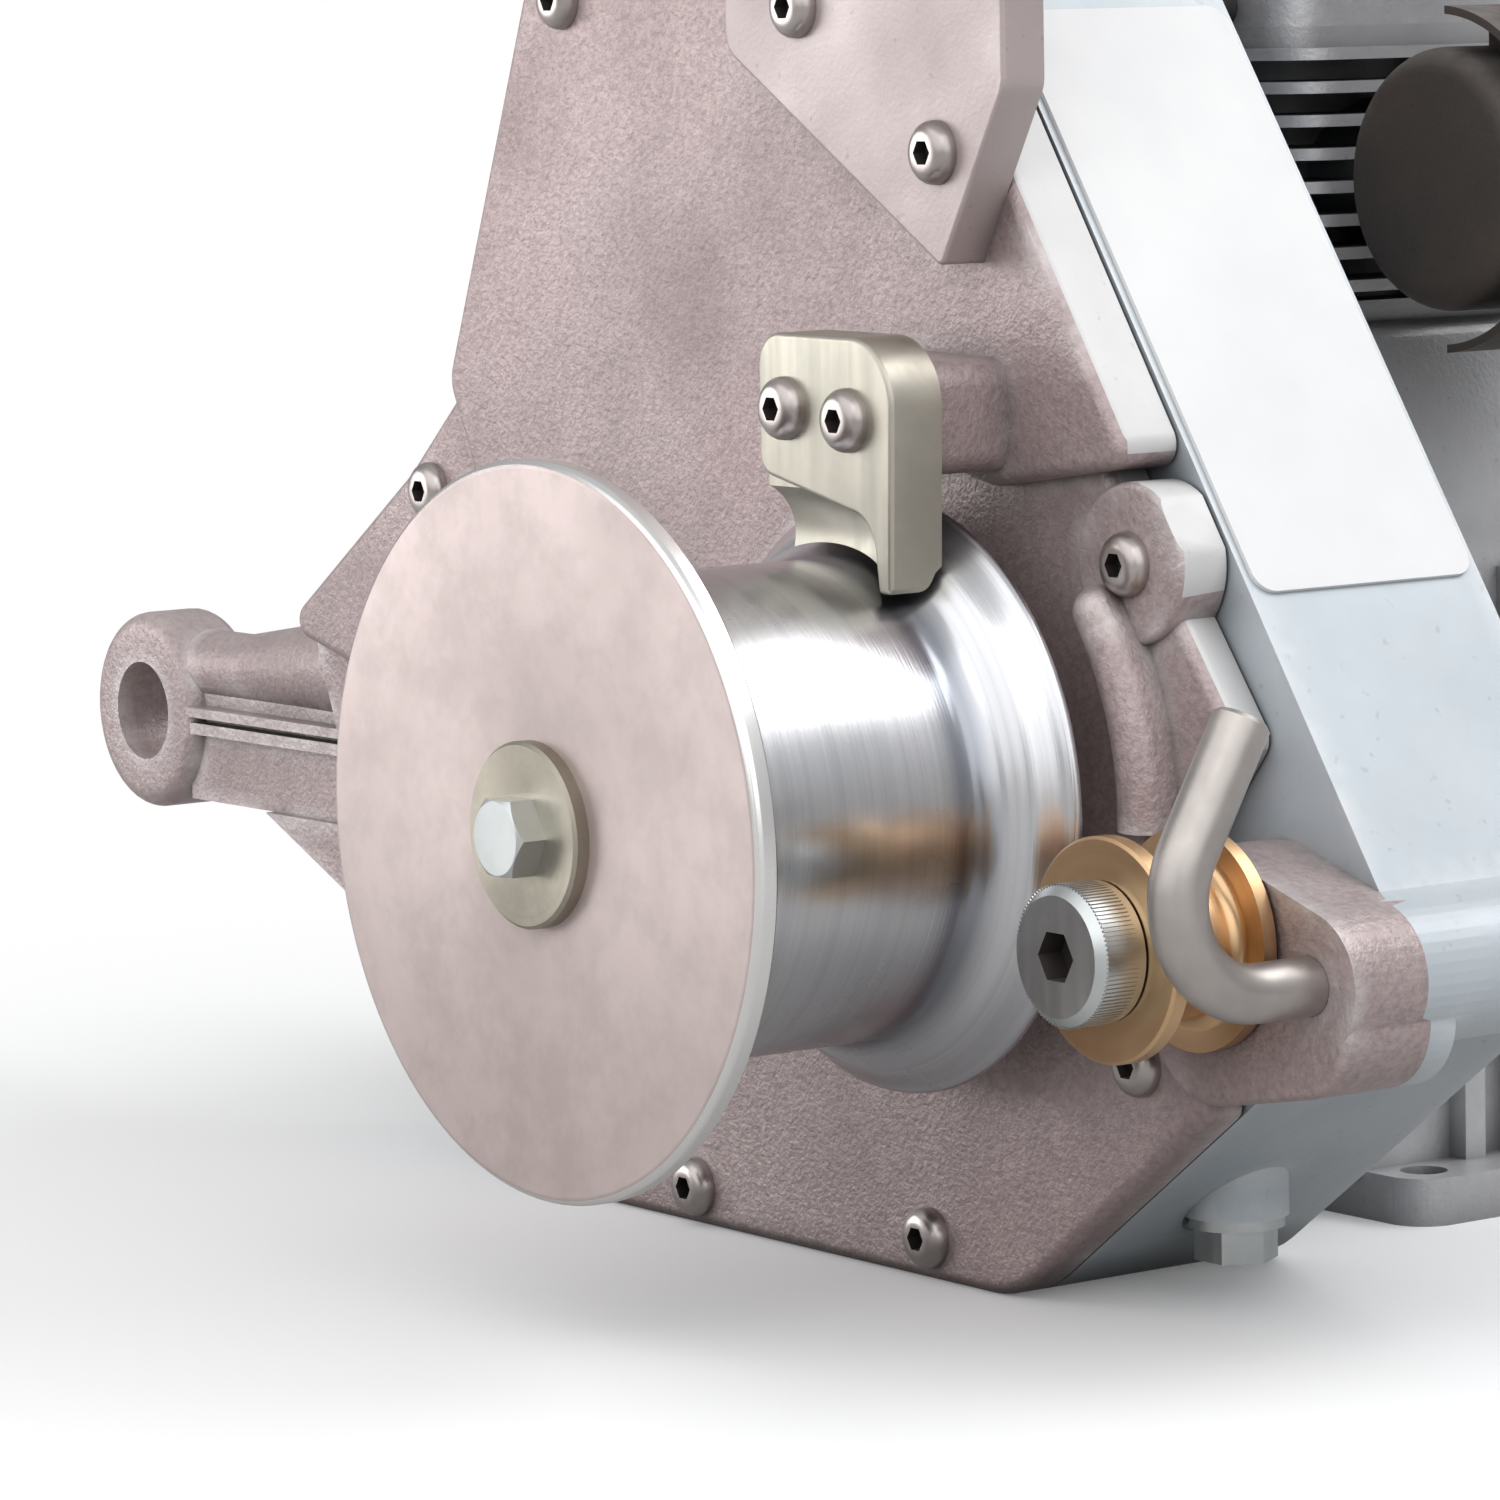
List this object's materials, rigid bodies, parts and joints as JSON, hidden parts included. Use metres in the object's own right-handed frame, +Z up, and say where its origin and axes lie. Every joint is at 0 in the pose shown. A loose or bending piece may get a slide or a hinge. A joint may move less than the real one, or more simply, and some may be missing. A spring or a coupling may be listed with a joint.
{
  "type": "capstan winch",
  "caption": "portable engine-driven capstan winch with turned rope drum, rope guide, side roller and pigtail hook on a cast gear case",
  "frame": {"origin": "on the flat underside of the gear case, straight below the drum axis, midway between seam and rear face", "axes": "X points to the load side (roller and hook), Y from the drum to the engine, Z up"},
  "size_m": [0.4355, 0.3413, 0.378],
  "materials": {
    "cast_cover": "die-cast, fine pebble, satin",
    "case_paint": "cast, pale satin coat",
    "drum_alloy": "turned and polished",
    "zinc_steel": "zinc plated, faint yellow",
    "stainless": "bright drawn",
    "bronze": "turned bronze",
    "gear_steel": "oiled, ground",
    "friction_iron": "as cast, machined faces",
    "seal_rubber": "matt",
    "engine_cast": "die-cast, dull",
    "black_plastic": "fine grain",
    "pale_plastic": "moulded, translucent white",
    "red_plastic": "smooth",
    "hot_steel": "heat-resisting black",
    "tube_steel": "black coat",
    "cord": "braided",
    "label_metal": "blank, satin"
  },
  "bodies": {
    "frame": {"front_cover": "cast_cover", "cover_gasket": "seal_rubber", "cover_screws": "stainless", "rear_case": "case_paint", "rope_guide": "zinc_steel", "guide_screws": "stainless", "front_bearing": "gear_steel", "rear_bearing": "gear_steel", "shaft_seal": "seal_rubber", "gear_bearings": "gear_steel", "input_bearing": "gear_steel", "clutch_housing": "engine_cast", "housing_screws": "zinc_steel", "roller_bolt": "zinc_steel", "pigtail_hook": "stainless", "drain_plug": "stainless", "fill_plug": "stainless", "label_plate": "label_metal", "handle_bracket": "zinc_steel", "bracket_screws": "stainless", "handle_tube": "tube_steel", "handle_grip": "seal_rubber", "crankcase": "engine_cast", "cylinder": "engine_cast", "valve_cover": "engine_cast", "spark_plug": "black_plastic", "fan_shroud": "black_plastic", "starter_cover": "black_plastic", "fuel_tank": "pale_plastic", "muffler": "hot_steel", "muffler_guard": "hot_steel", "carburettor": "engine_cast", "air_cleaner": "black_plastic"},
    "drum_group": {"drum": "drum_alloy", "drum_disc": "drum_alloy", "drum_washer": "zinc_steel", "drum_bolt": "stainless", "drum_shaft": "gear_steel", "drum_key": "gear_steel", "bull_gear": "gear_steel"},
    "second_group": {"second_shaft": "gear_steel", "second_gear": "gear_steel"},
    "first_group": {"first_shaft": "gear_steel", "first_gear": "gear_steel"},
    "input_group": {"input_pinion": "gear_steel", "clutch_drum": "gear_steel"},
    "crank_group": {"crankshaft": "gear_steel", "flywheel": "friction_iron", "clutch_hub": "gear_steel", "clutch_shoes": "friction_iron", "clutch_spring": "gear_steel"},
    "roller_group": {"rope_roller": "bronze"},
    "reel_group": {"starter_reel": "black_plastic"},
    "pull_group": {"starter_rope": "cord", "starter_grip": "black_plastic"},
    "cap_group": {"fuel_cap": "black_plastic"},
    "throttle_group": {"throttle_lever": "black_plastic"},
    "choke_group": {"choke_lever": "black_plastic"},
    "switch_group": {"stop_switch": "red_plastic"}
  },
  "joints": [
    {"name": "input_spin", "type": "hinge", "parent": "frame", "child": "input_group", "pos_m": [-0.06168, 0.04, 0.10031], "axis": [0, -1, 0], "continuous": true},
    {"name": "first_shaft_spin", "type": "hinge", "parent": "frame", "child": "first_group", "pos_m": [-0.08433, 0, 0.13267], "axis": [0, -1, 0], "continuous": true},
    {"name": "second_shaft_spin", "type": "hinge", "parent": "frame", "child": "second_group", "pos_m": [-0.035, 0, 0.15062], "axis": [0, -1, 0], "continuous": true},
    {"name": "drum_spin", "type": "hinge", "parent": "frame", "child": "drum_group", "pos_m": [0, 0, 0.09], "axis": [0, -1, 0], "continuous": true},
    {"name": "crank_spin", "type": "hinge", "parent": "frame", "child": "crank_group", "pos_m": [-0.06168, 0.1, 0.10031], "axis": [0, -1, 0], "continuous": true},
    {"name": "roller_spin", "type": "hinge", "parent": "frame", "child": "roller_group", "pos_m": [0.081, -0.055, 0.0727], "axis": [0, -1, 0], "continuous": true},
    {"name": "starter_pull", "type": "slide", "parent": "frame", "child": "pull_group", "axis": [1, 0, 0], "range_m": [0, 0.08], "stiffness_N_per_m": 40, "springref_m": -0.06},
    {"name": "reel_spin", "type": "hinge", "parent": "frame", "child": "reel_group", "pos_m": [-0.06168, 0.1905, 0.10031], "axis": [0, 1, 0], "range_deg": [-2, 175]},
    {"name": "fuel_cap_turn", "type": "hinge", "parent": "frame", "child": "cap_group", "pos_m": [-0.10368, 0.104, 0.30211], "axis": [0, 0, 1], "range_deg": [0, 90]},
    {"name": "throttle_turn", "type": "hinge", "parent": "frame", "child": "throttle_group", "pos_m": [-0.12868, 0.098, 0.21121], "axis": [0, 0, 1], "range_deg": [0, 44]},
    {"name": "choke_turn", "type": "hinge", "parent": "frame", "child": "choke_group", "pos_m": [-0.12868, 0.08, 0.19821], "axis": [0, -1, 0], "range_deg": [0, 60]},
    {"name": "stop_switch_turn", "type": "hinge", "parent": "frame", "child": "switch_group", "pos_m": [-0.02768, 0.176, 0.19811], "axis": [0, 1, 0], "range_deg": [0, 60]}
  ],
  "couplings": [
    {"joint": "first_shaft_spin", "follows": "input_spin", "ratio": -0.21538},
    {"joint": "second_shaft_spin", "follows": "input_spin", "ratio": 0.043077},
    {"joint": "drum_spin", "follows": "input_spin", "ratio": -0.0091375},
    {"joint": "reel_spin", "follows": "starter_pull", "rad_per_m": 37.037}
  ]
}
